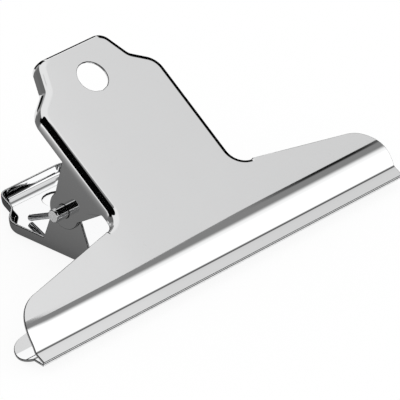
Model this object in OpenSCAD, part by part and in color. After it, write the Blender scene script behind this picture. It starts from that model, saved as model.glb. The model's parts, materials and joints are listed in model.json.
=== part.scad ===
// Letter clip of the sprung, T-shaped kind: two sheet-steel plates with ears, a pivot pin and a torsion spring.
// It lies on the flat back of its rear plate. X runs along the jaw and +Y points to the tips of the handles.
// A plate is drawn lying flat: its outer face is at height 0, its walls and ears stand up from it,
// and s is the distance along its face, counted from the foot of the pin towards the handle tip.

/* [Sheet] */
// Thickness of the sheet steel
sheet_t = 0.6; // [0.5:0.05:0.8]
// Lean of each handle away from the clip's middle plane, degrees
handle_lean = 18.6; // [16:0.1:24]

/* [Jaw] */
// Length of the jaw, end to end
jaw_w = 125; // [90:1:160]
// Distance from the pin's foot down to where the jaw starts to curve inwards
jaw_start = 23.6; // [22:0.1:30]
// Outer radius of the jaw's inward curve
jaw_r = 14.5; // [12:0.5:20]
// Angle of the jaw's inward curve, degrees
jaw_turn = 31; // [26:0.5:36]
// Height of the flat lip below the crease
lip_h = 3; // [1.5:0.05:5]
// Lean of the lips towards each other, degrees
lip_lean = 11.5; // [8:0.5:16]
// Gap between the edges of the two closed lips
lip_gap = 0.1; // [0.05:0.01:0.3]
// Rounding of the jaw's outer corners
corner_r = 9.8; // [4:0.1:10.5]
// Drop of the shoulder's sloping edge at the outer end of the jaw
shoulder_drop = 7.7; // [3:0.1:8.5]

/* [Handle] */
// Distance from the pin's foot up to the tip of the handle
handle_h = 32.8; // [32:0.1:45]
// Width across the outer faces of the front ears
handle_w = 41.8; // [38:0.1:52]
// Width of the handle's tip, measured at its sharp corners
tip_w = 22.6; // [20:0.1:26]
// Width of the handle at the step in its sides
neck_w = 29.2; // [28:0.1:32]
// Height of that step above the pin's foot
neck_s = 25; // [24:0.1:26]
// Height of the hip, where the sides turn straight
hip_s = 20.5; // [19:0.1:21]
// Rounding of the tip's two corners
tip_r = 4; // [3:0.1:6]
// Rounding of the step
neck_r = 2.5; // [1:0.1:4]
// Rounding of the hip
hip_r = 6; // [3:0.1:7]
// Distance from the pin's foot down to the corner between side and shoulder
shoulder_s = 12.5; // [11:0.1:15]
// Rounding of that corner
relief_r = 4.7; // [3:0.1:5]
// Outer radius of the bend that turns the rim in
bend_r = 1.8; // [1.2:0.1:2.4]
// Outer radius of the bend where it runs out at the shoulder
bend_end_r = 1; // [0.9:0.05:1.2]
// Depth of the turned-in rim
rim_d = 3.4; // [2.7:0.1:4.5]
// Depth of the rim where it runs out at the shoulder
rim_end_d = 1.3; // [1.25:0.05:2]
// Diameter of the hanging hole
hang_d = 8.4; // [4:0.1:10]
// Height of the hanging hole's centre above the pin's foot
hang_s = 23; // [20:0.05:25]

/* [Ears] */
// Radius of an ear's round end
ear_r = 4.8; // [3.5:0.1:6]
// Width of an ear where it leaves the rim
ear_root_w = 16.2; // [11:0.1:17]
// Gap between the front ears and the rear ears that they enclose
ear_gap = 0.15; // [0.1:0.05:0.4]

/* [Pin and spring] */
// Diameter of the pivot pin
pin_d = 3.5; // [2.5:0.1:4.5]
// Radial clearance of the pin in the ears
pin_clearance = 0.08; // [0.02:0.01:0.1]
// Length of pin that stands out of each front ear
pin_out = 3.8; // [1:0.1:6]
// Chamfer on the pin's ends
pin_chamfer = 0.3; // [0.1:0.1:0.6]
// Diameter of the spring wire
wire_d = 1.6; // [1:0.1:2]
// Gap between the pin and the inside of the coil
coil_play = 0.45; // [0.3:0.05:1]
// Least gap between one turn of the coil and the next
turn_gap = 0.8; // [0.5:0.05:1.5]
// Distance between the spring's two legs, which is the length of its coil
leg_span = 25.6; // [16:0.1:30]
// Height above the pin's foot at which a leg presses on its handle
leg_reach = 20.3; // [17:0.1:22]
// Gap between a leg and the handle that it presses on
leg_gap = 0.05; // [0.02:0.01:0.2]

/* [Hidden] */

// Reach of an ear into the rim's wall above the bend
lap = 0.3;
// Length in which the rim's end closes down to the flat sheet
run_out = 0.3;
// Spare length of a cutter past what it cuts
over = 5;
// Facets of a round hole or pin
fine = 96;

// The turn from one heading to the next, between -180 and 180 degrees
function turn_of(a, b) = let(d = b - a) d > 180 ? d - 360 : d < -180 ? d + 360 : d;
function heading(a, b) = atan2(b[1] - a[1], b[0] - a[0]);
// Points of the arc that rounds corner b between a and c, each as [point, heading]
function arc(a, b, c, r, steps) =
    let(h = heading(a, b), turn = turn_of(h, heading(b, c)), side = sign(turn),
        start = b - r * tan(abs(turn) / 2) * [cos(h), sin(h)],
        centre = start + side * r * [-sin(h), cos(h)])
    [for (i = [0:steps]) let(g = h + turn * i / steps) [centre - side * r * [-sin(g), cos(g)], g]];
function outward(st) = [-sin(st[1]), cos(st[1])];
function smooth(u) = u * u * (3 - 2 * u);

// Profile of the jaw, worked down from the start of its curve to the lip
crease = [-jaw_start - jaw_r * sin(jaw_turn), jaw_r * (1 - cos(jaw_turn))];
lip_dir = [-cos(handle_lean - lip_lean), -sin(handle_lean - lip_lean)];
lip_in = [lip_dir[1], -lip_dir[0]];
lip_end = crease + lip_h * lip_dir;
lip_inner_end = lip_end + sheet_t * lip_in;
// Height of the pin over the plate's outer face: it makes the lips meet at the middle plane
pin_h = lip_inner_end[1] - lip_inner_end[0] * tan(handle_lean) + lip_gap / 2 / cos(handle_lean);
// Inner corner of the crease: where the curve's inner face meets the lip's inner face
crease_in = crease + sheet_t * (lip_in + [sin(jaw_turn), cos(jaw_turn)])
    / (1 + lip_in * [sin(jaw_turn), cos(jaw_turn)]);
// Point [s, height] of the jaw's curve at an angle, on the outer or the inner face
jaw_steps = 10;
function jaw_point(a, r) = [-jaw_start - r * sin(a), jaw_r - r * cos(a)];

// The right half of the handle's outline, from the tip to where the rim runs out on the shoulder.
// Each station is [point, heading, bend radius, rim depth].
relief_steps = 8;
function half_outline(half_w) =
    let(tip = [tip_w / 2, handle_h], neck = [neck_w / 2, neck_s], hip = [half_w, hip_s],
        root = [half_w, -shoulder_s], relief = arc(hip, root, far_shoulder, relief_r, relief_steps))
    concat(
        [for (st = concat(arc([0, handle_h], tip, neck, tip_r, 7), arc(tip, neck, hip, neck_r, 4),
            arc(neck, hip, root, hip_r, 6))) [st[0], st[1], bend_r, rim_d]],
        [for (i = [0:relief_steps]) let(u = smooth(i / relief_steps))
            [relief[i][0], relief[i][1], bend_r + (bend_end_r - bend_r) * u, rim_d + (rim_end_d - rim_d) * u]]);

// Cut edge of the right half, from the end of the rim down to the lip: [x, s, height] on the outer face
// and on the inner face. It follows the shoulder and the rounded corner, then the jaw's rows.
far_shoulder = [jaw_w / 2, -shoulder_s - shoulder_drop];
function half_edge(half_w) =
    let(outline = half_outline(half_w), last = outline[len(outline) - 1],
        start = last[0] + run_out * [cos(last[1]), sin(last[1])],
        level = (last[0] - last[2] * outward(last))[1],
        beside = [half_w + (jaw_w / 2 - half_w) * (-shoulder_s - level) / shoulder_drop, level],
        corner = arc([half_w, -shoulder_s], far_shoulder, [jaw_w / 2, lip_end[0]], corner_r, 16),
        low = corner[len(corner) - 1][0], centre = low - [corner_r, 0],
        flat = concat([start, beside], [for (st = corner) if (st[0][1] > -jaw_start + run_out) st[0]]))
    concat(
        [for (p = flat) [[p[0], p[1], 0], [p[0], p[1], sheet_t]]],
        [for (i = [0:jaw_steps]) let(a = jaw_turn * i / jaw_steps, o = jaw_point(a, jaw_r),
            n = i == jaw_steps ? crease_in : jaw_point(a, jaw_r - sheet_t),
            x = o[0] < low[1] ? jaw_w / 2 : centre[0] + sqrt(corner_r ^ 2 - (o[0] - centre[1]) ^ 2))
            [[x, o[0], o[1]], [x, n[0], n[1]]]],
        [[[jaw_w / 2, lip_end[0], lip_end[1]], [jaw_w / 2, lip_inner_end[0], lip_inner_end[1]]]]);

// Section of the turned-in rim at one station, from the outer face round to the inner face:
// [distance outwards from the outline, height]
bend_steps = 5;
function rim_section(r, depth) = concat(
    [for (i = [0:bend_steps]) let(a = 90 * i / bend_steps) [-r + r * sin(a), r - r * cos(a)]],
    [[0, depth], [-sheet_t, depth]],
    [for (i = [bend_steps:-1:0]) let(a = 90 * i / bend_steps)
        [-r + (r - sheet_t) * sin(a), r - (r - sheet_t) * cos(a)]]);

// A triangle of a flat face, turned over on the inner face, and a rung of two of them between two levels
function turned(t, face) = face == 0 ? t : [t[0], t[2], t[1]];
function rung(left, right, next_left, next_right, face) =
    [turned([left, right, next_right], face), turned([left, next_right, next_left], face)];

// The pressed sheet of one plate: flat face, turned-in rim, shoulders, curved jaw and lip, as one skin.
// The rim's section is carried round the outline, and the jaw's rows run from one cut edge to the other.
module sheet(half_w) {
    half = half_outline(half_w);
    edge = half_edge(half_w);
    other = [for (i = [len(half) - 1:-1:0])
        let(st = half[i]) [[-st[0][0], st[0][1]], -st[1], st[2], st[3]]];
    stations = concat(other, half);
    n = len(stations);
    m = len(rim_section(bend_r, rim_d));
    e = len(edge);
    rim_points = [for (st = stations) for (q = rim_section(st[2], st[3]))
        let(p = st[0] + q[0] * outward(st)) [p[0], p[1], q[1]]];
    right_points = [for (p = edge) each p];
    left_points = [for (p = right_points) [-p[0], p[1], p[2]]];
    // Index of a cut-edge point: side 0 is right and 1 is left, face 0 is outer and 1 is inner
    function at(side, k, face) = n * m + side * 2 * e + 2 * k + face;
    rim_faces = [for (i = [0:n - 2]) for (j = [0:m - 2])
        let(p = i * m + j) each [[p, p + m, p + m + 1], [p, p + m + 1, p + 1]]];
    // The flat faces are rungs between a station and its mirror image, then round the rim's two ends
    function inset(side, i, face) = (side == 0 ? n / 2 + i : n / 2 - 1 - i) * m + face * (m - 1);
    h = n / 2 - 1;
    flats = [for (face = [0, 1]) each [
        for (i = [0:h - 1]) each rung(inset(1, i, face), inset(0, i, face),
            inset(1, i + 1, face), inset(0, i + 1, face), face),
        turned([inset(0, h, face), at(0, 0, face), at(0, 1, face)], face),
        turned([inset(1, h, face), at(1, 1, face), at(1, 0, face)], face),
        turned([inset(0, h, face), at(0, 1, face), at(0, 2, face)], face),
        turned([inset(1, h, face), at(1, 2, face), at(1, 1, face)], face),
        each rung(inset(1, h, face), inset(0, h, face), at(1, 2, face), at(0, 2, face), face),
        for (k = [2:e - 2]) each rung(at(1, k, face), at(0, k, face), at(1, k + 1, face), at(0, k + 1, face), face)
    ]];
    wall = bend_steps + 1;
    right_end = (n - 1) * m;
    fans = concat(
        [for (j = [0:wall - 1]) [right_end + j, at(0, 0, 0), right_end + j + 1]],
        [[right_end + wall, at(0, 0, 0), at(0, 0, 1)], [right_end + wall, at(0, 0, 1), right_end + wall + 1]],
        [for (j = [wall + 1:m - 2]) [right_end + j, at(0, 0, 1), right_end + j + 1]],
        [for (j = [0:wall - 1]) [j, j + 1, at(1, 0, 0)]],
        [[wall, at(1, 0, 1), at(1, 0, 0)], [wall, wall + 1, at(1, 0, 1)]],
        [for (j = [wall + 1:m - 2]) [j, j + 1, at(1, 0, 1)]]);
    edges = [for (k = [0:e - 2]) each [
        [at(0, k, 0), at(0, k + 1, 0), at(0, k + 1, 1)], [at(0, k, 0), at(0, k + 1, 1), at(0, k, 1)],
        [at(1, k, 0), at(1, k + 1, 1), at(1, k + 1, 0)], [at(1, k, 0), at(1, k, 1), at(1, k + 1, 1)]]];
    lip = [[at(0, e - 1, 0), at(1, e - 1, 0), at(1, e - 1, 1)], [at(0, e - 1, 0), at(1, e - 1, 1), at(0, e - 1, 1)]];
    polyhedron(concat(rim_points, right_points, left_points),
        concat(rim_faces, flats, fans, edges, lip), convexity = 8);
}

// Outline of an ear: [along the face, depth], straight flanks drawn to its round end at the pin
function ear_outline() =
    let(root = ear_root_w / 2, drop = pin_h - rim_d, steps = 16,
        flank = atan2(root, drop) - asin(ear_r / norm([root, drop])))
    concat([[-root, bend_r + lap], [-root, rim_d]],
        [for (i = [0:steps]) let(a = 180 + flank - (180 + 2 * flank) * i / steps)
            [ear_r * cos(a), pin_h + ear_r * sin(a)]],
        [[root, rim_d], [root, bend_r + lap]]);

module ears(half_w) {
    for (side = [-1, 1]) translate([side * (half_w - sheet_t / 2), 0, 0]) rotate([90, 0, 90])
        difference() {
            linear_extrude(sheet_t, center = true) polygon(ear_outline());
            translate([0, pin_h, 0])
                cylinder(h = 2 * over, r = pin_d / 2 + pin_clearance, center = true, $fn = fine);
        }
}

module plate(half_w) {
    difference() {
        sheet(half_w);
        translate([0, hang_s, -over]) cylinder(h = 2 * over, d = hang_d, $fn = fine);
    }
    ears(half_w);
}

// Turning of a point [s, depth] of the rear plate's side to its image in the middle plane
function image(p) =
    let(c = cos(2 * handle_lean), n = sin(2 * handle_lean), q = p - [0, pin_h])
    [c * q[0] + n * q[1], n * q[0] - c * q[1] + pin_h];
module image_of() {
    translate([0, 0, pin_h]) mirror([0, sin(handle_lean), -cos(handle_lean)])
        translate([0, 0, -pin_h]) children();
}

// Middle of the clip's length over the floor, from the front lip to the rear handle's tip
middle_y = (handle_h + image(lip_end)[0]) / 2;

module placed() { translate([0, -middle_y, 0]) children(); }

module rear_plate() {
    color("silver") placed() plate(handle_w / 2 - sheet_t - ear_gap);
}

module front_plate() {
    color("gainsboro") placed() image_of() plate(handle_w / 2);
}

module pivot_pin() {
    half = handle_w / 2 + pin_out;
    r = pin_d / 2;
    color("dimgray") placed() translate([0, 0, pin_h]) rotate([0, 90, 0])
        rotate_extrude($fn = fine)
            polygon([[0, -half], [r - pin_chamfer, -half], [r, -half + pin_chamfer],
                [r, half - pin_chamfer], [r - pin_chamfer, half], [0, half]]);
}

// Spring: a leg on the rear handle, the coil round the pin, and a leg on the front handle
coil_r = pin_d / 2 + coil_play + wire_d / 2;
leg_tip = [leg_reach, sheet_t + leg_gap + wire_d / 2];
tip_arm = leg_tip - [0, pin_h];
// Angle on the coil at which the rear leg leaves it, and the winding from there to the front leg
leave_a = atan2(tip_arm[1], tip_arm[0]) - acos(coil_r / norm(tip_arm));
part_turn = (2 * (180 + leave_a - handle_lean) / 360 + 1) % 1;
turns = floor(leg_span / (wire_d + turn_gap) - part_turn) + part_turn;
curl_rings = 8;
wire_sides = 6;
wraps = ceil(turns * curl_rings);
function coil_point(u) =
    let(a = leave_a - 360 * turns * u)
    [leg_span * (u - 0.5), coil_r * cos(a), pin_h + coil_r * sin(a)];
front_tip = image(leg_tip);
leg_rings = 4;
leave = coil_point(0);
arrive = coil_point(1);
wire_path = concat(
    [for (i = [0:leg_rings - 1]) let(u = i / leg_rings)
        [leave[0], leg_tip[0] + (leave[1] - leg_tip[0]) * u, leg_tip[1] + (leave[2] - leg_tip[1]) * u]],
    [for (i = [0:wraps]) coil_point(i / wraps)],
    [for (i = [1:leg_rings]) let(u = i / leg_rings)
        [arrive[0], arrive[1] + (front_tip[0] - arrive[1]) * u, arrive[2] + (front_tip[1] - arrive[2]) * u]]);
// Least gap of the wire to itself, between points at least half a turn apart
path_n = len(wire_path);
least_gap = min([for (i = [0:path_n - 1]) for (j = [i + 1:1:path_n - 1])
    if (j - i >= curl_rings / 2) norm(wire_path[i] - wire_path[j])]) - wire_d;
echo(least_gap_of_spring_wire_mm = least_gap, turns = turns, pin_h = pin_h);

// A round wire carried along a path, with its rings turned by the axis of the coil
module wire(path, d, sides) {
    n = len(path);
    points = [for (i = [0:n - 1])
        let(a = path[max(i - 1, 0)], b = path[min(i + 1, n - 1)], t = (b - a) / norm(b - a),
            u = cross(t, cross([1, 0, 0], t)), e = u / norm(u), f = cross(t, e))
        for (j = [0:sides - 1]) let(w = 360 * j / sides) path[i] + d / 2 * (cos(w) * e + sin(w) * f)];
    faces = [for (i = [0:n - 2]) for (j = [0:sides - 1])
        let(k = (j + 1) % sides, p = i * sides, q = p + sides)
        each [[p + j, p + k, q + k], [p + j, q + k, q + j]]];
    polyhedron(points, concat(faces, [[for (j = [sides - 1:-1:0]) j]],
        [[for (j = [0:sides - 1]) (n - 1) * sides + j]]), convexity = 20);
}

module spring() {
    color("slategray") placed() wire(wire_path, wire_d, wire_sides);
}

rear_plate();
front_plate();
pivot_pin();
spring();
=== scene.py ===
import json
import math

import bmesh
import bpy
import numpy as np
from mathutils import Matrix, Vector


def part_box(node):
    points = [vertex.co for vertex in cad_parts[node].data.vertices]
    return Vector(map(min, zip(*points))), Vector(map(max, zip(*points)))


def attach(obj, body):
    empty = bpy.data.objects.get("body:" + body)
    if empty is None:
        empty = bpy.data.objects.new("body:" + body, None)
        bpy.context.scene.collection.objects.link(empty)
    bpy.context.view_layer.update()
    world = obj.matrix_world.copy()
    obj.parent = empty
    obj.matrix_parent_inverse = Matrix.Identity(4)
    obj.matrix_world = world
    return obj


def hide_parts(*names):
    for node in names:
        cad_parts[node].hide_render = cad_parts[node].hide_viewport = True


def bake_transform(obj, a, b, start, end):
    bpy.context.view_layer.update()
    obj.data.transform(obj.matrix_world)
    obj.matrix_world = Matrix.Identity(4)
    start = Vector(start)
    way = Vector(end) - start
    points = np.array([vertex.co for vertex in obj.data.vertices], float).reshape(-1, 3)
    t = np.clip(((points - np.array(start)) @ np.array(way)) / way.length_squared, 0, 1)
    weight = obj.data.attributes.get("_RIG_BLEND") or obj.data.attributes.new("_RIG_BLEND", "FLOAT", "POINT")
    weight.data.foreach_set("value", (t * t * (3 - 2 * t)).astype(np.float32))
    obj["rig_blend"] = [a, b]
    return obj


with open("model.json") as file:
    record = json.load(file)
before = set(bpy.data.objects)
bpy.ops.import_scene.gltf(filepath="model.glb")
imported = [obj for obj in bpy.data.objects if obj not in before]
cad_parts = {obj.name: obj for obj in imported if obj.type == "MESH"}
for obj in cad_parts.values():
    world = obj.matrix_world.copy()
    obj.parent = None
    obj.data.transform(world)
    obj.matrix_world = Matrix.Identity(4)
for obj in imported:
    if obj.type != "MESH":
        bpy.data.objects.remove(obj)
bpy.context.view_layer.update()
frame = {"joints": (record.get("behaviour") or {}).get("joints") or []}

mm = 0.001

# The pin's axis, read from the frame. Everything on a plate is measured from its foot.
hinge = frame["joints"][0]
pinY = hinge["pos_m"][1] / mm
pinHeight = hinge["pos_m"][2] / mm
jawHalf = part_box("rear_plate")[1].x / mm

# Sizes in millimetres, measured along a plate's outer face from the foot of the pin, and turns in degrees
plateSizes = {
    "thickness": 0.6,
    "jawStart": 23.6, "jawRadius": 14.5, "jawTurn": 31.0,
    "lipHeight": 3.0, "lipTurn": 38.1, "creaseRadius": 0.7, "creaseShadeHalf": 0.4,
    "cornerRadius": 9.8, "shoulderTop": 12.5, "shoulderDrop": 7.7,
    "handleTop": 32.8, "tipHalf": 11.3, "neckHalf": 14.6, "neckTop": 25.0, "hipTop": 20.5,
    "tipRadius": 4.0, "neckRadius": 2.5, "hipRadius": 6.0, "reliefRadius": 4.7,
    "bendRadius": 1.8, "bendTurn": 78.0, "bendEndRadius": 1.0,
    "rimDepth": 3.4, "rimEndDepth": 1.3, "runOut": 0.5,
    "holeRadius": 4.2, "holeTop": 23.0,
    "earRadius": 4.8, "earRootHalf": 8.1, "earFillet": 0.6, "boreRadius": 1.83,
    "edgeRound": 0.135, "sharpAngle": 50.0, "narrowReach": 1.6, "endReach": 1.2, "narrowShare": 0.15,
}
handleHalf = {"rear": 20.15, "front": 20.9}    # half widths over the ears
handleLean = 18.6                              # of a plate from the middle plane, degrees

# How finely a plate is divided: steps along each part of its outline and sections, the shares at which rings
# and rows lie between two lines, and the gaps in millimetres that keep a row clear of its neighbour
plateGrid = {
    "top": 6, "tip": 12, "tipToNeck": 4, "neck": 10, "neckToHip": 3, "hip": 12, "hipToEar": 6, "ear": 12,
    "fillet": 5, "relief": 16, "runOut": 5, "bend": 10, "wall": 5,
    "besideHole": 3, "shoulder": 25, "jaw": 38, "crease": 8, "earEnd": 40, "earFlank": 8,
    "holeRings": (0, 0.5, 0.85, 1), "earRings": (0, 0.6, 0.9, 1), "lipRows": (0.04, 0.5, 1.0),
    "endRow": 0.04, "bendGuard": 0.25, "aboveHole": 0.6, "belowHole": 0.8, "jawGap": 0.001,
    "creaseGap": 0.05, "sideGap": 0.01, "seamGap": 0.004,
}
tiny = 1e-6


def cornerArc(a, b, c, radius, steps):
    # Round off corner b between a and c: points on the arc, with the heading of the path at each
    a, b, c = np.array(a, float), np.array(b, float), np.array(c, float)
    into, out = b - a, c - b
    h = math.atan2(into[1], into[0])
    turn = (math.atan2(out[1], out[0]) - h + math.pi) % (2 * math.pi) - math.pi
    start = b - radius * math.tan(abs(turn) / 2) * np.array([math.cos(h), math.sin(h)])
    centre = start + math.copysign(radius, turn) * np.array([-math.sin(h), math.cos(h)])
    g = h + turn * np.linspace(0, 1, steps + 1)
    points = centre - math.copysign(radius, turn) * np.stack([-np.sin(g), np.cos(g)], 1)
    return points, g


def stretch(a, b, steps):
    # Straight run from a to b without its two ends, with its heading
    u = np.linspace(0, 1, steps + 1)[1:-1, None]
    heading = math.atan2(b[1] - a[1], b[0] - a[0])
    return np.array(a) + u * (np.array(b) - np.array(a)), np.full(len(u), heading)


def smooth(u):
    # From nothing to one with level ends: three times the square less twice the cube
    return u * u * (3 - 2 * u)


def shoulderX(s, half, p):
    # Half width of the plate below the handle: sloping shoulder, rounded corner, straight end
    start = (half, -p["shoulderTop"])
    end = -p["shoulderTop"] - p["shoulderDrop"]
    corner = cornerArc(start, (jawHalf, end), (jawHalf, end - 1), p["cornerRadius"], 2)[0]
    slope = half + (jawHalf - half) * (-p["shoulderTop"] - s) / p["shoulderDrop"]
    centreX = jawHalf - p["cornerRadius"]
    centreS = corner[2][1]
    rise = np.clip(p["cornerRadius"] ** 2 - (s - centreS) ** 2, 0, None)
    rounded = centreX + np.sqrt(rise)
    return np.where(s > corner[0][1], slope, np.where(s > centreS, rounded, jawHalf))


def earFlank(p):
    # Slope of an ear's flanks: each runs from the root on the rim, tangent to the round end at the pin
    drop = pinHeight - p["rimDepth"]
    reach = math.hypot(p["earRootHalf"], drop)
    return math.atan2(p["earRootHalf"], drop) - math.asin(p["earRadius"] / reach)


def earEnds(p):
    # Where an ear leaves the rim: its root towards the tip, and the end of its fillet towards the jaw
    fillet = p["earFillet"] * math.tan((math.pi / 2 - earFlank(p)) / 2)
    return p["earRootHalf"], -p["earRootHalf"] - fillet


def handleStations(half, p):
    # Right half of the handle's outline, tip to run-out: point, heading, bend radius, rim depth, flattening
    n = plateGrid
    top = (0, p["handleTop"])
    tip, neck, hip = (p["tipHalf"], p["handleTop"]), (p["neckHalf"], p["neckTop"]), (half, p["hipTop"])
    root = (half, -p["shoulderTop"])
    far = (jawHalf, -p["shoulderTop"] - p["shoulderDrop"])
    tipArc = cornerArc(top, tip, neck, p["tipRadius"], n["tip"])
    neckArc = cornerArc(tip, neck, hip, p["neckRadius"], n["neck"])
    hipArc = cornerArc(neck, hip, root, p["hipRadius"], n["hip"])
    relief = cornerArc(hip, root, far, p["reliefRadius"], n["relief"])
    earTop, earLow = earEnds(p)
    side = np.concatenate([np.linspace(earTop, -p["earRootHalf"], n["ear"] + 1),
                           np.linspace(-p["earRootHalf"], earLow, n["fillet"] + 1)[1:]])
    runs = [stretch(top, tipArc[0][0], n["top"]), tipArc,
            stretch(tipArc[0][-1], neckArc[0][0], n["tipToNeck"]), neckArc,
            stretch(neckArc[0][-1], hipArc[0][0], n["neckToHip"]), hipArc,
            stretch(hipArc[0][-1], (half, earTop), n["hipToEar"]),
            (np.stack([np.full(len(side), half), side], 1), np.full(len(side), -math.pi / 2)), relief]
    points = np.concatenate([r[0] for r in runs])
    headings = np.concatenate([r[1] for r in runs])
    # Round the relief the bend tightens and the rim gets lower
    u = np.zeros(len(points))
    u[-n["relief"] - 1:] = np.linspace(0, 1, n["relief"] + 1)
    u = smooth(u)
    bend = p["bendRadius"] + (p["bendEndRadius"] - p["bendRadius"]) * u
    depth = p["rimDepth"] + (p["rimEndDepth"] - p["rimDepth"]) * u
    # The rim closes down to the flat sheet over the run-out
    w = np.linspace(0, 1, n["runOut"] + 1)[1:]
    on = np.array([math.cos(headings[-1]), math.sin(headings[-1])])
    points = np.concatenate([points, points[-1] + w[:, None] * p["runOut"] * on])
    headings = np.concatenate([headings, np.full(len(w), headings[-1])])
    bend = np.concatenate([bend, np.full(len(w), bend[-1])])
    depth = np.concatenate([depth, np.full(len(w), depth[-1])])
    flat = np.concatenate([np.zeros(len(u)), smooth(w)])
    return points, headings, bend, depth, flat


def rimSection(bend, depth, flat, p):
    # Outer face of the rim at each station, from the flat across the bend and up the wall: distance outwards
    # and height, flattened out at the run-out. The bend turns most of the way at its own radius, and a wide
    # curve brings the wall upright at its edge.
    turn = math.radians(p["bendTurn"])
    g = turn * np.linspace(0, 1, plateGrid["bend"] + 1)
    w = turn + (math.pi / 2 - turn) * np.linspace(0, 1, plateGrid["wall"] + 1)[1:]
    r = bend[:, None]
    wide = (depth[:, None] - r + r * math.cos(turn)) / math.cos(turn)
    start = -r * math.sin(turn) - wide * (1 - math.sin(turn))
    first = start - plateGrid["bendGuard"]
    away = np.concatenate([first, start + r * np.sin(g), wide * (np.sin(w) - 1)], 1)
    height = np.concatenate([0 * r, r - r * np.cos(g), depth[:, None] - wide * np.cos(w)], 1)
    share = np.linspace(0, 1, away.shape[1] - 1)
    lying = np.concatenate([first, start - start * share], 1)
    f = flat[:, None]
    return away * (1 - f) + lying * f, height * (1 - f)


class Skin:
    # Collects grids of points with their faces, for one mesh
    def __init__(self):
        self.points, self.faces, self.count = [], [], 0

    def grid(self, g):
        # A sheet of quads over a grid of points: rows by columns by 3
        rows, columns = g.shape[:2]
        i = np.arange(rows * columns).reshape(rows, columns) + self.count
        quads = np.stack([i[:-1, :-1], i[:-1, 1:], i[1:, 1:], i[1:, :-1]], -1).reshape(-1, 4)
        self.points.append(g.reshape(-1, 3))
        self.faces.append(quads)
        self.count += rows * columns


def ringGrid(loop, centre, radius, shares):
    # From a closed loop in a plane in to a circle round the centre: rows are rings, columns go round it
    arm = loop - centre
    reach = np.linalg.norm(arm, axis=1, keepdims=True)
    circle = centre + arm / reach * radius
    rings = np.array(shares)[:, None, None]
    g = loop * (1 - rings) + circle * rings
    return np.concatenate([g, g[:, :1]], 1)


def earOutline(p, baseS):
    # Loop of an ear round the pin as [s, height]: along the rim's edge, up one flank, round the end and down
    # the other flank. The second result fills the fillet between the rim's edge and the first flank.
    n = plateGrid
    flank = earFlank(p)
    a = math.pi + flank - (math.pi + 2 * flank) * np.linspace(0, 1, n["earEnd"] + 1)
    end = np.stack([p["earRadius"] * np.cos(a), pinHeight + p["earRadius"] * np.sin(a)], 1)
    root = np.array([-p["earRootHalf"], p["rimDepth"]])
    top = np.array([p["earRootHalf"], p["rimDepth"]])
    base = np.stack([baseS, np.full(len(baseS), p["rimDepth"])], 1)
    inLoop = baseS > root[0] - tiny
    pastFillet = (earEnds(p)[1] - 1, p["rimDepth"])
    fillet = cornerArc(pastFillet, root, end[0], p["earFillet"], 2 * n["fillet"])[0]
    upRoot = root + np.linspace(0, 1, n["fillet"] + 1)[1:, None] * (fillet[-1] - root)
    steps = np.linspace(0, 1, n["earFlank"] + 1)[1:-1, None]
    loop = np.concatenate([base[inLoop], upRoot, fillet[-1] + steps * (end[0] - fillet[-1]), end,
                           end[-1] + steps * (top - end[-1])])
    corner = np.concatenate([base[~inLoop][::-1], [root], upRoot])
    return loop, np.stack([fillet, corner])


def creaseLine(p):
    # Where the jaw's curve ends and the lip turns out of it, as [s, height]
    turn = math.radians(p["jawTurn"])
    s = -p["jawStart"] - p["jawRadius"] * math.sin(turn)
    return np.array([s, p["jawRadius"] * (1 - math.cos(turn))])


def jawProfile(p):
    # Rows of the outer face below the flat, as [s, height]: the jaw's curve, the crease and the lip
    start, radius, turn = p["jawStart"], p["jawRadius"], math.radians(p["jawTurn"])
    a = np.linspace(0, turn, plateGrid["jaw"] + 1)
    curve = np.stack([-start - radius * np.sin(a), radius - radius * np.cos(a)], 1)
    lipHeading = math.radians(p["jawTurn"] - p["lipTurn"])
    lipDirection = np.array([-math.cos(lipHeading), math.sin(lipHeading)])
    crease = curve[-1]
    end = crease + p["lipHeight"] * lipDirection
    back = crease - 2 * np.array([-math.cos(turn), math.sin(turn)])
    fillet = cornerArc(back, crease, end, p["creaseRadius"], plateGrid["crease"])[0]
    clear = np.hypot(*(fillet[0] - crease)) + plateGrid["creaseGap"]
    curve = curve[:-1][np.hypot(*(curve[:-1] - crease).T) > clear]
    lip = fillet[-1] + np.array(plateGrid["lipRows"])[:, None] * (end - fillet[-1])
    return np.concatenate([curve, fillet, lip])


def layFace(skin, right, p):
    # Flat face of the handle: one row for each station past the tip, and columns spread across it. The cells
    # round the hanging hole are left out, and a ring takes their place. Gives back the columns' spread.
    columns = plateGrid["top"]
    inner = right[:, 0, :2]
    tipX = np.concatenate([-inner[:columns][::-1, 0], [0], inner[:columns, 0]])
    spread = tipX / tipX[-1]
    rows = inner[columns - 1:]
    face = np.stack([spread[None, :] * rows[:, :1], np.repeat(rows[:, 1:], len(spread), 1),
                     np.zeros((len(rows), len(spread)))], 2)
    top = int(np.argmax(rows[:, 1] < p["holeTop"] + p["holeRadius"] + plateGrid["aboveHole"])) - 1
    low = int(np.argmax(rows[:, 1] < p["holeTop"] - p["holeRadius"] - plateGrid["belowHole"]))
    c0 = plateGrid["besideHole"]
    c1 = len(spread) - 1 - c0
    skin.grid(face[:top + 1])
    skin.grid(face[low:])
    skin.grid(face[top:low + 1, :c0 + 1])
    skin.grid(face[top:low + 1, c1:])
    loop = np.concatenate([face[top, c0:c1], face[top:low, c1], face[low, c1:c0:-1], face[low:top:-1, c0]])
    skin.grid(ringGrid(loop, np.array([0, p["holeTop"], 0]), p["holeRadius"], plateGrid["holeRings"]))
    return spread


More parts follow.
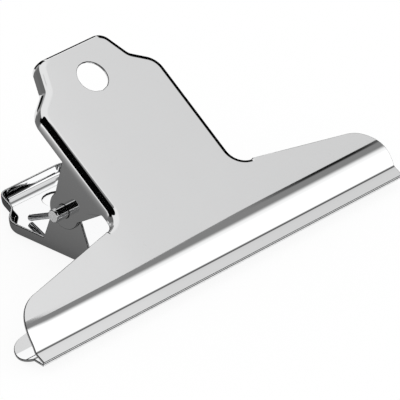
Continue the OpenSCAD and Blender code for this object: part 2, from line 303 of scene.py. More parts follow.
def layJaw(skin, right, spread, half, p):
    # Shoulders, jaw and lip in one sheet from end to end, and the corners under the rim's two ends
    endRow = right[-1]
    innerX, low = endRow[0, :2]
    across = right.shape[1]
    profile = jawProfile(p)
    jawStart = -p["jawStart"]
    flatLevels = np.linspace(low, jawStart + plateGrid["bendGuard"], plateGrid["shoulder"] + 1)
    flatLevels = np.concatenate([flatLevels, [jawStart + plateGrid["jawGap"]]])
    levels = np.concatenate([flatLevels, profile[1:, 0]])[:, None]
    heights = np.concatenate([np.zeros(len(flatLevels)), profile[1:, 1]])[:, None]
    edge = shoulderX(levels, half, p)
    outer = innerX + (edge - innerX) * np.linspace(0, 1, across)[None, :]
    x = np.concatenate([-outer[:, ::-1], spread[None, 1:-1] * innerX + 0 * edge, outer], 1)
    columns = x.shape[1]
    skin.grid(np.stack([x, np.repeat(levels, columns, 1), np.repeat(heights, columns, 1)], 2))
    # A row close to the rim's end keeps its steep shading off the flat shoulder
    below = np.stack([outer[0], np.full(across, low), np.zeros(across)], 1)
    corner = np.stack([endRow, endRow + plateGrid["endRow"] * (below - endRow), below])
    skin.grid(corner)
    skin.grid(corner * np.array([-1, 1, 1]))


def plateSkin(half, p):
    # Outer face of one plate as [x, s, height]: rim, flat face with its hanging hole, jaw, lip and ears
    skin = Skin()
    points, headings, bend, depth, flat = handleStations(half, p)
    away, height = rimSection(bend, depth, flat, p)
    outward = np.stack([-np.sin(headings), np.cos(headings)], 1)
    xs = points[:, None, :] + away[..., None] * outward[:, None, :]
    right = np.concatenate([xs, height[..., None]], 2)
    left = right[::-1] * np.array([-1, 1, 1])
    middle = right[:1] * np.array([0, 1, 1])
    skin.grid(np.concatenate([left, middle, right]))
    spread = layFace(skin, right, p)
    layJaw(skin, right, spread, half, p)
    # Each ear stands on the stations of the straight side between its two ends
    earTop, earLow = earEnds(p)
    s = points[:, 1]
    onSide = (np.abs(points[:, 0] - half) < tiny) & (s < earTop + tiny) & (s > earLow - tiny)
    loop, filletPatch = earOutline(p, s[onSide])
    ring = ringGrid(loop, np.array([0, pinHeight]), p["boreRadius"], plateGrid["earRings"])
    for side in (-1, 1):
        for g in (ring, filletPatch):
            skin.grid(np.concatenate([np.full(g.shape[:2] + (1,), side * half), g], 2))
    return skin


def rearPlace(v):
    # From a plate's own [x, s, height] to the clip's frame
    return (v + np.array([0, pinY, 0])) * mm


def frontPlace(v):
    # Mirror image of the rear plate's place in the clip's middle plane, through the pin's axis
    lean = math.radians(handleLean)
    n = np.array([0, math.sin(lean), -math.cos(lean)])
    q = v - np.array([0, 0, pinHeight])
    q = q - 2 * (q @ n)[:, None] * n
    return (q + np.array([0, pinY, pinHeight])) * mm


def pinPlace(v):
    # From the pin's axis to the clip's frame
    return (v + np.array([0, pinY, pinHeight])) * mm


def meshOf(name, skin, place):
    mesh = bpy.data.meshes.new(name)
    mesh.from_pydata(place(np.concatenate(skin.points)).tolist(), [], np.concatenate(skin.faces).tolist())
    mesh.update()
    piece = bpy.data.objects.new(name, mesh)
    bpy.context.scene.collection.objects.link(piece)
    return piece


def closeSeams(piece, gap, outwards=None):
    # Merges points closer than the gap, drops collapsed faces and turns the rest outwards. An open skin is
    # turned so that its face nearest to the first of two outward points looks towards the second.
    b = bmesh.new()
    b.from_mesh(piece.data)
    bmesh.ops.remove_doubles(b, verts=b.verts, dist=gap * mm)
    bmesh.ops.dissolve_degenerate(b, edges=b.edges, dist=0.001 * mm)
    bmesh.ops.recalc_face_normals(b, faces=b.faces)
    if outwards is not None:
        foot, above = Vector(outwards[0]), Vector(outwards[1])
        nearest = min(b.faces, key=lambda f: (f.calc_center_median() - foot).length)
        if nearest.normal.dot(above - foot) < 0:
            bmesh.ops.reverse_faces(b, faces=b.faces)
    b.to_mesh(piece.data)
    b.free()
    piece.data.shade_smooth()


def bakeModifiers(piece):
    # Leaves the finished mesh on the piece, with no live modifier
    graph = bpy.context.evaluated_depsgraph_get()
    done = bpy.data.meshes.new_from_object(piece.evaluated_get(graph), preserve_all_data_layers=True,
                                           depsgraph=graph)
    done.name = piece.name
    piece.modifiers.clear()
    piece.data = done


def creaseShadeMask(points, p):
    # Painted shade in the fold between jaw and lip: one at the fold, falling to nothing over its half width
    fold = creaseLine(p)
    away = np.hypot(points[:, 1] - fold[0], points[:, 2] - fold[1])
    return np.clip(1 - away / p["creaseShadeHalf"], 0, 1)


def narrowMask(points, half, p):
    # One where the edge rounding has less room: round the small fillets at the jaw's side of the ears, and
    # where the rim runs out
    x, s, height = np.abs(points[:, 0]), points[:, 1], points[:, 2]
    reach = np.hypot(s + p["earRootHalf"], height - p["rimDepth"])
    atEar = (reach < p["narrowReach"]) & (x > half - plateGrid["sideGap"])
    end = handleStations(half, p)[0][-1]
    atEnd = np.hypot(x - end[0], s - end[1]) < p["endReach"]
    return atEar | atEnd


def setMask(piece, name, values):
    # A number for each point, which materials and the edge rounding read by name
    mask = piece.data.attributes.new(name, "FLOAT", "POINT")
    mask.data.foreach_set("value", values.astype(np.float32))


def weighEdges(piece, p):
    # Bevel weight of every sharp edge: full, or the narrow share where the mask says so
    b = bmesh.new()
    b.from_mesh(piece.data)
    narrow = b.verts.layers.float["narrow"]
    weight = b.edges.layers.float.new("bevel_weight_edge")
    for e in b.edges:
        if len(e.link_faces) == 2 and e.calc_face_angle() > math.radians(p["sharpAngle"]):
            e[weight] = p["narrowShare"] if max(v[narrow] for v in e.verts) > 0.5 else 1.0
    b.to_mesh(piece.data)
    b.free()


def pressedPlate(name, half, p, place, materials):
    # A thin wall inwards from the outer skin. The materials are those of the faces, of the sheared edges and
    # of the rounded corners between them; the corners are near black, painted shade that draws the edges'
    # outline.
    skin = plateSkin(half, p)
    points = np.concatenate(skin.points)
    piece = meshOf(name, skin, place)
    # Painted shade: the crease mask darkens the plating along the fold
    setMask(piece, "crease", creaseShadeMask(points, p))
    setMask(piece, "narrow", narrowMask(points, half, p))
    closeSeams(piece, plateGrid["seamGap"], place(np.array([[0, 0, 0], [0, 0, -1.0]])))
    for m in materials:
        piece.data.materials.append(m)
    wall = piece.modifiers.new("wall", "SOLIDIFY")
    wall.thickness = p["thickness"] * mm
    wall.offset = -1
    wall.use_even_offset = True
    wall.material_offset_rim = 1
    bakeModifiers(piece)
    weighEdges(piece, p)
    edge = piece.modifiers.new("edge", "BEVEL")
    edge.width = p["edgeRound"] * mm
    edge.segments = 2
    edge.limit_method = "WEIGHT"
    # The rounded edges take the near black material: painted shade along every edge
    edge.material = len(materials) - 1
    edge.harden_normals = True
    edge.use_clamp_overlap = False
    bakeModifiers(piece)
    return piece


# Pin and spring: sizes in millimetres, the rest are turns, shares and numbers of steps
pinSizes = {"radius": 1.75, "out": 3.8, "chamfer": 0.3, "ease": 0.05, "easeShare": 0.4, "bulge": 0.42,
            "around": 64, "endFacing": 0.9, "seamGap": 0.002}
springSizes = {"wire": 1.6, "coilPlay": 0.45, "turnGap": 0.8, "span": 25.6, "legReach": 20.3, "legGap": 0.05,
               "endTurns": 0.5, "endSqueeze": 0.125, "legSteps": 24, "perTurn": 48, "around": 16,
               "tipRound": 0.25, "tipShare": 0.3, "seamGap": 0.002}


def pivotPin(p, barrel, ends):
    # Profile of the pin turned about its axis: flat ends, small chamfers with eased corners, and the barrel
    half = handleHalf["front"] + p["out"]
    r, c, ease, share = p["radius"], p["chamfer"], p["ease"], p["easeShare"]
    end = np.array([[half, 0], [half, 0.5 * r], [half, r - c - ease], [half - share * ease, r - c],
                    [half - 0.5 * c, r - p["bulge"] * c], [half - c, r - share * ease], [half - c - ease, r],
                    [half - c - 2 * ease, r], [half - c - p["out"], r]])
    profile = np.concatenate([end * [-1, 1], end[::-1]])
    a = np.linspace(0, 2 * math.pi, p["around"] + 1)
    x, reach = np.repeat(profile[:, :1], len(a), 1), profile[:, 1:]
    skin = Skin()
    skin.grid(np.stack([x, reach * np.cos(a), reach * np.sin(a)], 2))
    piece = meshOf("pivotPin", skin, pinPlace)
    closeSeams(piece, p["seamGap"])
    piece.data.materials.append(barrel)
    piece.data.materials.append(ends)
    facing = np.zeros(3 * len(piece.data.polygons))
    piece.data.polygons.foreach_get("normal", facing)
    onEnd = (np.abs(facing[::3]) > p["endFacing"]).astype(np.int32)
    piece.data.polygons.foreach_set("material_index", onEnd)
    return piece


def springPath(p, sheet):
    # Rear leg, coil and front leg. Each leg is the tangent from its handle's inner face to the circle of the
    # coil, and the coil is a helix whose turns close up a little at both ends.
    coil = pinSizes["radius"] + p["coilPlay"] + p["wire"] / 2
    tip = np.array([p["legReach"], sheet + p["legGap"] + p["wire"] / 2]) - [0, pinHeight]
    leave = math.atan2(tip[1], tip[0]) - math.acos(coil / np.hypot(*tip))
    part = (2 * (math.pi + leave - math.radians(handleLean)) / (2 * math.pi) + 1) % 1
    turns = math.floor(p["span"] / (p["wire"] + p["turnGap"]) - part) + part
    u = np.linspace(0, 1, int(turns * p["perTurn"]) + 1)
    a = leave - 2 * math.pi * turns * u
    rise = np.clip(u * turns / p["endTurns"], 0, 1)
    fall = np.clip((1 - u) * turns / p["endTurns"], 0, 1)
    along = u + p["endSqueeze"] / turns * ((1 - rise) ** 2 - (1 - fall) ** 2)
    along = (along - along[0]) / (along[-1] - along[0])
    helix = np.stack([p["span"] * (along - 0.5), coil * np.cos(a), coil * np.sin(a)], 1)
    c, n = math.cos(2 * math.radians(handleLean)), math.sin(2 * math.radians(handleLean))
    frontTip = np.array([c * tip[0] + n * tip[1], n * tip[0] - c * tip[1]])
    w = np.linspace(0, 1, p["legSteps"] + 1)[:, None]
    rearLeg = np.concatenate([[-p["span"] / 2], tip]) * (1 - w) + helix[0] * w
    frontLeg = helix[-1] * (1 - w) + np.concatenate([[p["span"] / 2], frontTip]) * w
    return np.concatenate([rearLeg[:-1], helix, frontLeg[1:]])


def woundSpring(p, material):
    # A round wire carried along the path, its section turned by the axis of the coil. Four rings close each
    # cut end: the middle, the flat, and two on its rounding.
    path = springPath(p, plateSizes["thickness"])
    tangent = np.gradient(path, axis=0)
    tangent /= np.linalg.norm(tangent, axis=1, keepdims=True)
    r = p["wire"] / 2
    e = p["tipRound"]
    steps = np.array([0.0, 0.0, p["tipShare"], 1.0])
    inset = np.array([r, e, p["tipShare"] * e, 0.0])
    rings = len(steps)
    front = path[0] + tangent[0] * (steps * e)[:, None]
    back = path[-1] - tangent[-1] * (steps[::-1] * e)[:, None]
    inside = slice(2, -2)
    path = np.concatenate([front, path[inside], back])
    tangent = np.concatenate([np.repeat(tangent[:1], rings, 0), tangent[inside],
                              np.repeat(tangent[-1:], rings, 0)])
    radius = np.concatenate([r - inset, np.full(len(path) - 2 * rings, r), (r - inset)[::-1]])[:, None, None]
    axis = np.array([1.0, 0, 0])
    side = np.cross(tangent, axis)
    side /= np.linalg.norm(side, axis=1, keepdims=True)
    up = np.cross(side, tangent)
    a = np.linspace(0, 2 * math.pi, p["around"] + 1)[None, :, None]
    skin = Skin()
    skin.grid(path[:, None, :] + radius * (np.cos(a) * side[:, None, :] + np.sin(a) * up[:, None, :]))
    piece = meshOf("torsionSpring", skin, pinPlace)
    closeSeams(piece, p["seamGap"])
    piece.data.materials.append(material)
    return piece


# Finishes: tones are linear, grain pitch, mottle size, relief and wave are in metres, the rest are shares
finishes = {
    "plate": {
        "metallic": 1.0, "color": (0.91, 0.912, 0.915), "roughness": 0.03,
        "grain": 0.35, "grainPitch": 0.00016, "mottle": 0.02, "mottleSize": 0.009,
        "scratches": 0.25, "relief": 0.15e-6, "wave": 2.5e-6,
        # crease: how dark the shade painted along the fold between jaw and lip is
        "crease": 0.85, "creaseShadeFull": 0.8,
    },
    "cutEdge": {
        "metallic": 1.0, "color": (0.85, 0.852, 0.855), "roughness": 0.20,
        "grain": 1.0, "grainPitch": 0.00012, "mottle": 0.18, "mottleSize": 0.0012,
        "scratches": 0.5, "relief": 1.5e-6, "wave": 4e-6,
    },
    # Near black rounded edges: painted shade that draws a dark outline along every edge
    "paintedEdgeShade": {
        "metallic": 1.0, "color": (0.03, 0.0302, 0.031), "roughness": 0.35,
        "grain": 0.8, "grainPitch": 0.00012, "mottle": 0.15, "mottleSize": 0.0012,
        "scratches": 0.4, "relief": 0.5e-6, "wave": 1e-6,
    },
    "pin": {
        "metallic": 1.0, "color": (0.80, 0.805, 0.81), "roughness": 0.10,
        "grain": 0.6, "grainPitch": 0.00010, "mottle": 0.05, "mottleSize": 0.002,
        "scratches": 0.5, "relief": 0.1e-6, "wave": 0.5e-6,
    },
    "pinEnd": {
        "metallic": 0.7, "color": (0.92, 0.922, 0.925), "roughness": 0.55,
        "grain": 0.3, "grainPitch": 0.00010, "mottle": 0.12, "mottleSize": 0.0009,
        "scratches": 0.6, "relief": 0.5e-6, "wave": 2e-6,
    },
    "wire": {
        "metallic": 1.0, "color": (0.50, 0.505, 0.51), "roughness": 0.13,
        "grain": 0.9, "grainPitch": 0.00008, "mottle": 0.08, "mottleSize": 0.0016,
        "scratches": 0.5, "relief": 0.15e-6, "wave": 0.5e-6,
    },
}

# What all finishes share: how far grain and scratches are drawn out, where they lie and how much they show
wear = {
    "grainStretch": 0.02, "scratchStretch": 0.06, "scratchTurn": (0.35, 0.2, 0.6), "scratchScale": 700.0,
    "scratchWidth": 0.006, "patchScale": 140.0, "patchFrom": 0.55, "patchTo": 0.68, "waveScale": 110.0,
    "scratchTone": 0.25, "grainTone": 0.06, "scratchRough": 0.15, "mottleRough": 0.5, "leastRough": 0.02,
}

# Inputs of the surface group, with the finish value that each takes
surfaceInputs = {
    "Roughness": "roughness", "Grain": "grain", "Grain Pitch": "grainPitch", "Mottle": "mottle",
    "Mottle Size": "mottleSize", "Scratches": "scratches", "Relief": "relief", "Wave": "wave",
}


class Wiring:
    # Short ways to add nodes to a tree: each call gives back the socket of its result
    def __init__(self, tree):
        self.tree = tree

    def node(self, kind, **settings):
        made = self.tree.nodes.new(kind)
        for key, value in settings.items():
            setattr(made, key, value)
        return made

    def feed(self, socket, value):
        if isinstance(value, bpy.types.NodeSocket):
            self.tree.links.new(value, socket)
        else:
            socket.default_value = value

    def math(self, operation, *values):
        made = self.node("ShaderNodeMath", operation=operation)
        for socket, value in zip(made.inputs, values):
            self.feed(socket, value)
        return made.outputs[0]

    def multiply(self, *values):
        product = values[0]
        for value in values[1:]:
            product = self.math("MULTIPLY", product, value)
        return product

    def ramp(self, value, low, high, toLow=0.0, toHigh=1.0):
        # Soft step from toLow to toHigh while the value goes from low to high
        made = self.node("ShaderNodeMapRange", interpolation_type="SMOOTHSTEP")
        inputs = {"Value": value, "From Min": low, "From Max": high, "To Min": toLow, "To Max": toHigh}
        for name, given in inputs.items():
            self.feed(made.inputs[name], given)
        return made.outputs["Result"]

    def window(self, value, low, full, fade, gone):
        # One between full and fade, nothing below low and above gone
        return self.multiply(self.ramp(value, low, full), self.ramp(value, fade, gone, 1.0, 0.0))

    def mix(self, share, a, b):
        # Number between a and b
        made = self.node("ShaderNodeMix", data_type="FLOAT")
        for socket, value in zip((made.inputs[0], made.inputs[2], made.inputs[3]), (share, a, b)):
            self.feed(socket, value)
        return made.outputs[0]

    def scaled(self, vector, factor):
        made = self.node("ShaderNodeVectorMath", operation="SCALE")
        self.feed(made.inputs[0], vector)
        self.feed(made.inputs["Scale"], factor)
        return made.outputs["Vector"]

    def noise(self, place, scale, detail=2.0):
        made = self.node("ShaderNodeTexNoise")
        self.feed(made.inputs["Vector"], place)
        self.feed(made.inputs["Scale"], scale)
        made.inputs["Detail"].default_value = detail
        return made.outputs["Fac"]

    def axes(self, vector):
        parts = self.node("ShaderNodeSeparateXYZ")
        self.feed(parts.inputs[0], vector)
        return parts.outputs


def metalSurfaceGroup(c):
    # Rolling grain along X, cloudy mottle, hair scratches, a faint wave and painted crease shade, for every
    # metal of the clip. Gives the surface's colour and roughness, and its height in metres.
    group = bpy.data.node_groups.new("metalSurface", "ShaderNodeTree")
    face = group.interface
    face.new_socket("Place", in_out="INPUT", socket_type="NodeSocketVector")
    face.new_socket("Color", in_out="INPUT", socket_type="NodeSocketColor")
    for name in (*surfaceInputs, "Crease Shade"):
        face.new_socket(name, in_out="INPUT", socket_type="NodeSocketFloat")
    face.new_socket("Color", in_out="OUTPUT", socket_type="NodeSocketColor")
    face.new_socket("Roughness", in_out="OUTPUT", socket_type="NodeSocketFloat")
    face.new_socket("Height", in_out="OUTPUT", socket_type="NodeSocketFloat")
    w = Wiring(group)
    given = w.node("NodeGroupInput").outputs
    out = w.node("NodeGroupOutput").inputs
    place = given["Place"]
    alongX = w.node("ShaderNodeVectorMath", operation="MULTIPLY")
    w.feed(alongX.inputs[0], place)
    w.feed(alongX.inputs[1], (c["grainStretch"], 1.0, 1.0))
    grainScale = w.math("DIVIDE", 1.0, given["Grain Pitch"])
    grain = w.math("SUBTRACT", w.noise(alongX.outputs["Vector"], grainScale, 3.0), 0.5)
    grain = w.multiply(grain, given["Grain"])
    mottleScale = w.math("DIVIDE", 1.0, given["Mottle Size"])
    mottle = w.math("SUBTRACT", w.noise(place, mottleScale, 3.0), 0.5)
    mottle = w.multiply(mottle, given["Mottle"])
    # A scratch is where a stretched noise passes its middle value, kept only in patches
    slanted = w.node("ShaderNodeMapping")
    w.feed(slanted.inputs["Vector"], place)
    slanted.inputs["Rotation"].default_value = c["scratchTurn"]
    slanted.inputs["Scale"].default_value = (1.0, c["scratchStretch"], 1.0)
    streaks = w.noise(slanted.outputs["Vector"], c["scratchScale"], 1.0)
    line = w.math("ABSOLUTE", w.math("SUBTRACT", streaks, 0.5))
    patches = w.ramp(w.noise(place, c["patchScale"]), c["patchFrom"], c["patchTo"])
    scratch = w.multiply(w.ramp(line, 0.0, c["scratchWidth"], 1.0, 0.0), patches, given["Scratches"])
    wave = w.math("SUBTRACT", w.noise(place, c["waveScale"], 0.0), 0.5)
    tone = w.math("ADD", 1.0, mottle)
    tone = w.math("SUBTRACT", tone, w.multiply(scratch, c["scratchTone"]))
    tone = w.math("ADD", tone, w.multiply(grain, c["grainTone"]))
    # Painted shade: the colour darkens where the crease mask is
    tone = w.multiply(tone, w.math("SUBTRACT", 1.0, given["Crease Shade"]))
    w.feed(out["Color"], w.scaled(given["Color"], tone))
    rough = w.math("ADD", given["Roughness"], w.multiply(scratch, c["scratchRough"]))
    rough = w.math("ADD", rough, w.multiply(mottle, c["mottleRough"]))
    w.feed(out["Roughness"], w.math("MAXIMUM", rough, c["leastRough"]))
    height = w.multiply(grain, given["Relief"])
    height = w.math("SUBTRACT", height, w.multiply(scratch, given["Relief"]))
    w.feed(out["Height"], w.math("ADD", height, w.multiply(wave, given["Wave"])))
    return group


metalSurface = metalSurfaceGroup(wear)


def metal(name, look):
    material = bpy.data.materials.new(name)
    material.use_nodes = True
    w = Wiring(material.node_tree)
    shader = material.node_tree.nodes["Principled BSDF"]
    shader.inputs["Metallic"].default_value = look["metallic"]
    surface = w.node("ShaderNodeGroup", node_tree=metalSurface)
    w.feed(surface.inputs["Place"], w.node("ShaderNodeTexCoord").outputs["Object"])
    surface.inputs["Color"].default_value = (*look["color"], 1)
    for socket, key in surfaceInputs.items():
        surface.inputs[socket].default_value = look[key]
    # Shade painted along the fold, read from the crease mask
    if "crease" in look:
        creaseShade = w.node("ShaderNodeAttribute", attribute_name="crease").outputs["Fac"]
        w.feed(surface.inputs["Crease Shade"], w.multiply(w.ramp(creaseShade, 0.0, look["creaseShadeFull"]), look["crease"]))
    bump = w.node("ShaderNodeBump")
    bump.inputs["Distance"].default_value = 1.0
    w.feed(bump.inputs["Height"], surface.outputs["Height"])
    w.feed(shader.inputs["Base Color"], surface.outputs["Color"])
    w.feed(shader.inputs["Roughness"], surface.outputs["Roughness"])
    w.feed(shader.inputs["Normal"], bump.outputs["Normal"])
    return material


plateMetals = [metal("nickelPlate", finishes["plate"]), metal("shearedEdge", finishes["cutEdge"]),
               metal("paintedEdgeShade", finishes["paintedEdgeShade"])]
pinSteel = metal("pinSteel", finishes["pin"])
pinEnd = metal("pinEnd", finishes["pinEnd"])
springSteel = metal("springWire", finishes["wire"])

rear = pressedPlate("rearPlate", handleHalf["rear"], plateSizes, rearPlace, plateMetals)
front = pressedPlate("frontPlate", handleHalf["front"], plateSizes, frontPlace, plateMetals)
print("plates made", len(rear.data.polygons), len(front.data.polygons))
pin = pivotPin(pinSizes, pinSteel, pinEnd)
spring = woundSpring(springSizes, springSteel)
print("pin and spring made", len(pin.data.polygons), len(spring.data.polygons))

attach(rear, "rear")
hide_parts("rear_plate")
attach(front, "front")
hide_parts("front_plate")
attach(pin, "rear")
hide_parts("pivot_pin")
halfSpan = springSizes["span"] / 2 * mm
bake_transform(spring, "rear", "front", start=(-halfSpan, 0, 0), end=(halfSpan, 0, 0))
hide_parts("spring")

cameraSizes = {
    "place": (-0.7845, -0.7815, 0.6), "look": (0.63464, 0.61248, -0.47127),
    "right": (0.68792, -0.72559, -0.0166), "lens": 465.5, "sensor": 36, "near": 0.05, "far": 20,
}


def studioCamera(c):
    data = bpy.data.cameras.new("camera")
    data.lens = c["lens"]
    data.sensor_width = c["sensor"]
    data.clip_start = c["near"]
    data.clip_end = c["far"]
    camera = bpy.data.objects.new("camera", data)
    bpy.context.scene.collection.objects.link(camera)
    back = -Vector(c["look"]).normalized()
    right = Vector(c["right"])
    right = (right - right.dot(back) * back).normalized()
    up = back.cross(right)
    camera.matrix_world = Matrix.Translation(c["place"]) @ Matrix((right, up, back)).transposed().to_4x4()
    bpy.context.scene.camera = camera


# The studio that the metal mirrors: pale cards and black flags. A direction is given by its angle about the
# X axis, in degrees from +Y up towards +Z and on to -Y, and by x, its share along X.
studio = {
    # Sky low behind the clip, dimmer in one patch
    "sky": 1.04, "skyFrom": 42.0, "skyTo": 46.0,
    "dimTone": 0.74, "dimFrom": 0.6025, "dimTo": 0.608, "dimLow": 35.8, "dimHigh": 36.6,
    # The large card that the flat faces show, and the grey card at the back
    "cardLeft": 0.80, "cardRight": 0.665, "cardFrom": 0.53, "cardTo": 0.70,
    "glow": 0.04, "glowFrom": 0.617, "glowTo": 0.626,
    "backTone": 0.14, "backLow": 36.0, "backHigh": 42.0, "backSlant": 28.0, "backFrom": 0.08, "backTo": 0.14,
    "backMiddle": 0.30, "middleFrom": -0.25, "middleTo": -0.10,
    # The band along the jaw, lifted towards its left end, and the dark line in its right half
    "bandEdge": 113.1, "bandTone": 0.235, "bandEndLeft": 127.5, "bandEndRight": 131.1, "bandSoftLeft": 2.0,
    "bandSoftRight": 4.0, "bandFrom": 0.6015, "bandTo": 0.606, "bandStart": -0.1, "bandFull": 0.2,
    "bandShift": -0.35, "shiftFrom": 0.636, "shiftTo": 0.644,
    "bandLift": 6.6, "liftLow": 0.6025, "liftTop": 0.6065, "liftFall": 0.616, "liftHigh": 0.641,
    "lineTone": 0.008, "lineLow": 116.0, "lineEnd": 119.5, "lineFrom": 0.638, "lineTo": 0.652,
    "lineFade": 0.659, "lineGone": 0.665,
    # The white card overhead
    "overheadLow": 0.98, "overhead": 1.16, "overheadFrom": 135.0, "overheadTo": 142.0, "lowFrom": 0.603,
    "lowTo": 0.625,
    # Flags: left, with its border running from leftEdge to leftTop, one in the corner, and right
    "flagTone": 0.001,
    "leftEdge": -0.66, "leftTop": 0.08, "leftLow": 61.0, "leftHigh": 113.0, "leftSoft": 0.03,
    "leftFade": 125.0, "leftGone": 140.0, "sideFade": 170.0, "sideGone": 176.0, "sideFrom": -0.46,
    "sideTo": -0.40,
    "cornerFrom": 0.08, "cornerTo": 0.14, "cornerFade": 0.582, "cornerGone": 0.594, "cornerLow": 46.0,
    "cornerHigh": 56.0,
    "rightEdge": 0.614, "rightStep": 0.045, "stepLow": 32.0, "stepHigh": 36.0,
    "rightSlope": 0.024, "slopeLow": 36.0, "slopeHigh": 105.0, "rightSoft": 0.005,
    # A narrow card in the right flag, which lights the flats that are seen from behind
    "wingLow": 0.40, "wingHigh": 0.78, "wingTop": 66.0, "wingGone": 74.0, "wingFrom": 0.652, "wingTo": 0.695,
    "wingSoft": 0.005,
}


def cards(w, x, angle, c):
    # Tone of the sky and the cards that the flat faces and the rims show
    card = w.ramp(x, c["cardFrom"], c["cardTo"], c["cardLeft"], c["cardRight"])
    card = w.math("ADD", card, w.ramp(x, c["glowFrom"], c["glowTo"], c["glow"], 0.0))
    dim = w.multiply(w.ramp(x, c["dimFrom"], c["dimTo"], 1.0, 0.0), w.ramp(angle, c["dimLow"], c["dimHigh"]))
    sky = w.mix(dim, c["sky"], c["dimTone"])
    tone = w.mix(w.ramp(angle, c["skyFrom"], c["skyTo"]), sky, card)
    slanted = w.math("ADD", angle, w.multiply(x, c["backSlant"]))
    back = w.multiply(w.ramp(slanted, c["backLow"], c["backHigh"], 1.0, 0.0),
                      w.ramp(x, c["backFrom"], c["backTo"], 1.0, 0.0))
    backTone = w.ramp(x, c["middleFrom"], c["middleTo"], c["backTone"], c["backMiddle"])
    return w.mix(back, tone, backTone)


def jawBand(w, x, angle, tone, c):
    # The band that the start of the jaw's curve shows, and the white card past it
    lift = w.window(x, c["liftLow"], c["liftTop"], c["liftFall"], c["liftHigh"])
    edge = w.ramp(x, c["shiftFrom"], c["shiftTo"], c["bandEdge"], c["bandEdge"] + c["bandShift"])
    edge = w.math("ADD", w.multiply(lift, c["bandLift"]), edge)
    past = w.math("SUBTRACT", angle, edge)
    line = w.window(x, c["lineFrom"], c["lineTo"], c["lineFade"], c["lineGone"])
    line = w.multiply(line, w.ramp(angle, c["lineLow"], c["lineEnd"], 1.0, 0.0))
    band = w.mix(line, c["bandTone"], c["lineTone"])
    tone = w.mix(w.ramp(past, c["bandStart"], c["bandFull"]), tone, band)
    end = w.ramp(x, c["bandFrom"], c["bandTo"], c["bandEndLeft"], c["bandEndRight"])
    soft = w.ramp(x, c["bandFrom"], c["bandTo"], c["bandSoftLeft"], c["bandSoftRight"])
    low = w.ramp(x, c["lowFrom"], c["lowTo"], c["overhead"], c["overheadLow"])
    overhead = w.ramp(angle, c["overheadFrom"], c["overheadTo"], low, c["overhead"])
    ended = w.ramp(angle, w.math("SUBTRACT", end, soft), w.math("ADD", end, soft))
    return w.mix(ended, tone, overhead)


def flags(w, x, angle, tone, c):
    # Black flags to the left, in the corner and to the right, over the cards
    border = w.ramp(angle, c["leftLow"], c["leftHigh"], c["leftEdge"], c["leftTop"])
    left = w.ramp(w.math("SUBTRACT", x, border), -c["leftSoft"], c["leftSoft"], 1.0, 0.0)
    fade = w.ramp(x, c["sideFrom"], c["sideTo"], c["sideFade"], c["leftFade"])
    gone = w.ramp(x, c["sideFrom"], c["sideTo"], c["sideGone"], c["leftGone"])
    tone = w.mix(w.multiply(left, w.ramp(angle, fade, gone, 1.0, 0.0)), tone, c["flagTone"])
    corner = w.window(x, c["cornerFrom"], c["cornerTo"], c["cornerFade"], c["cornerGone"])
    corner = w.multiply(corner, w.ramp(angle, c["cornerLow"], c["cornerHigh"], 1.0, 0.0))
    tone = w.mix(corner, tone, c["flagTone"])
    step = w.ramp(angle, c["stepLow"], c["stepHigh"], c["rightEdge"], c["rightEdge"] + c["rightStep"])
    border = w.math("ADD", step, w.ramp(angle, c["slopeLow"], c["slopeHigh"], 0.0, c["rightSlope"]))
    right = w.ramp(w.math("SUBTRACT", x, border), -c["rightSoft"], c["rightSoft"])
    tone = w.mix(right, tone, c["flagTone"])
    soft = c["wingSoft"]
    wing = w.window(x, c["wingFrom"] - soft, c["wingFrom"] + soft, c["wingTo"] - soft, c["wingTo"] + soft)
    wing = w.multiply(wing, w.ramp(angle, c["wingTop"], c["wingGone"], 1.0, 0.0))
    return w.mix(wing, tone, w.ramp(angle, 0.0, c["wingTop"], c["wingLow"], c["wingHigh"]))


def studioWorld(c):
    # White for the camera, an even light for matt surfaces, and the cards and flags for reflections
    world = bpy.data.worlds.new("studio")
    bpy.context.scene.world = world
    world.use_nodes = True
    w = Wiring(world.node_tree)
    x, y, z = w.axes(w.node("ShaderNodeTexCoord").outputs["Generated"])
    angle = w.multiply(w.math("ARCTAN2", z, y), 180 / math.pi)
    tone = cards(w, x, angle, c)
    tone = jawBand(w, x, angle, tone, c)
    tone = flags(w, x, angle, tone, c)
    background = world.node_tree.nodes["Background"].inputs
    background["Color"].default_value = (1, 1, 1, 1)
    mirrored = w.node("ShaderNodeLightPath").outputs["Is Glossy Ray"]
    w.feed(background["Strength"], w.mix(mirrored, 1.0, tone))


# The floor, in metres: white for the camera with a faint shadow, and for reflections a painted shadow, dark
# under the clip and lighter to the left, with the floor bright in front of the clip and behind it
floorSizes = {
    "half": 2.0, "under": 0.00005, "shadow": 0.12,
    "underShadowTone": 0.015, "nearShadeTone": 0.155, "farTone": 1.0,
    "nearFrom": 0.0, "nearTo": -0.035, "farFrom": -0.035, "farTo": -0.25,
    "slant": 0.8, "slantFrom": 0.03, "slantTo": -0.03,
    "frontTone": 0.95, "frontFrom": -0.0295, "frontTo": -0.0315,
    "rearTone": 0.85, "rearIn": 0.058, "rearOut": 0.064, "rearFrom": 0.055, "rearTo": 0.075,
}


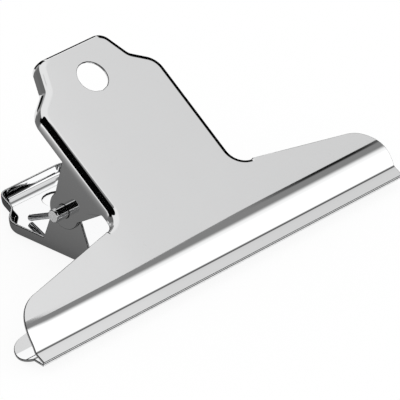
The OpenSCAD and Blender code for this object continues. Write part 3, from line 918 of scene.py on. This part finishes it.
def floorShadeTone(w, x, y, c):
    # Tone of the floor by place, for reflections: a painted shadow under and beside the clip, bright further
    # off
    shadedFloor = w.ramp(x, c["nearFrom"], c["nearTo"], c["underShadowTone"], c["nearShadeTone"])
    aside = w.math("ADD", y, w.multiply(x, c["slant"]))
    far = w.multiply(w.ramp(x, c["farFrom"], c["farTo"]), w.ramp(aside, c["slantFrom"], c["slantTo"]))
    shadedFloor = w.mix(far, shadedFloor, c["farTone"])
    rear = w.multiply(w.ramp(w.math("ABSOLUTE", x), c["rearIn"], c["rearOut"], 1.0, 0.0),
                      w.ramp(y, c["rearFrom"], c["rearTo"]))
    shadedFloor = w.mix(rear, shadedFloor, c["rearTone"])
    return w.mix(w.ramp(y, c["frontFrom"], c["frontTo"]), shadedFloor, c["frontTone"])


def studioFloor(c):
    mesh = bpy.data.meshes.new("floor")
    r = c["half"]
    mesh.from_pydata([(-r, -r, 0), (r, -r, 0), (r, r, 0), (-r, r, 0)], [], [(0, 1, 2, 3)])
    floor = bpy.data.objects.new("floor", mesh)
    bpy.context.scene.collection.objects.link(floor)
    floor.location.z = -c["under"]
    material = bpy.data.materials.new("floor")
    material.use_nodes = True
    tree = material.node_tree
    tree.nodes.remove(tree.nodes["Principled BSDF"])
    w = Wiring(tree)
    x, y = w.axes(w.node("ShaderNodeTexCoord").outputs["Object"])[:2]
    # Seen in reflections: the floor's tone with its painted shadow
    mirrored = w.node("ShaderNodeEmission")
    w.feed(mirrored.inputs["Strength"], floorShadeTone(w, x, y, c))
    matt = w.node("ShaderNodeBsdfDiffuse")
    matt.inputs["Color"].default_value = (1, 1, 1, 1)
    pale = w.node("ShaderNodeEmission")
    shown = w.node("ShaderNodeMixShader")
    w.feed(shown.inputs[0], c["shadow"])
    w.feed(shown.inputs[1], pale.outputs[0])
    w.feed(shown.inputs[2], matt.outputs[0])
    final = w.node("ShaderNodeMixShader")
    w.feed(final.inputs[0], w.node("ShaderNodeLightPath").outputs["Is Glossy Ray"])
    w.feed(final.inputs[1], shown.outputs[0])
    w.feed(final.inputs[2], mirrored.outputs[0])
    w.feed(tree.nodes["Material Output"].inputs["Surface"], final.outputs[0])
    mesh.materials.append(material)


studioCamera(cameraSizes)
studioWorld(studio)
studioFloor(floorSizes)
bpy.context.scene.view_settings.view_transform = "Standard"
print("studio made")
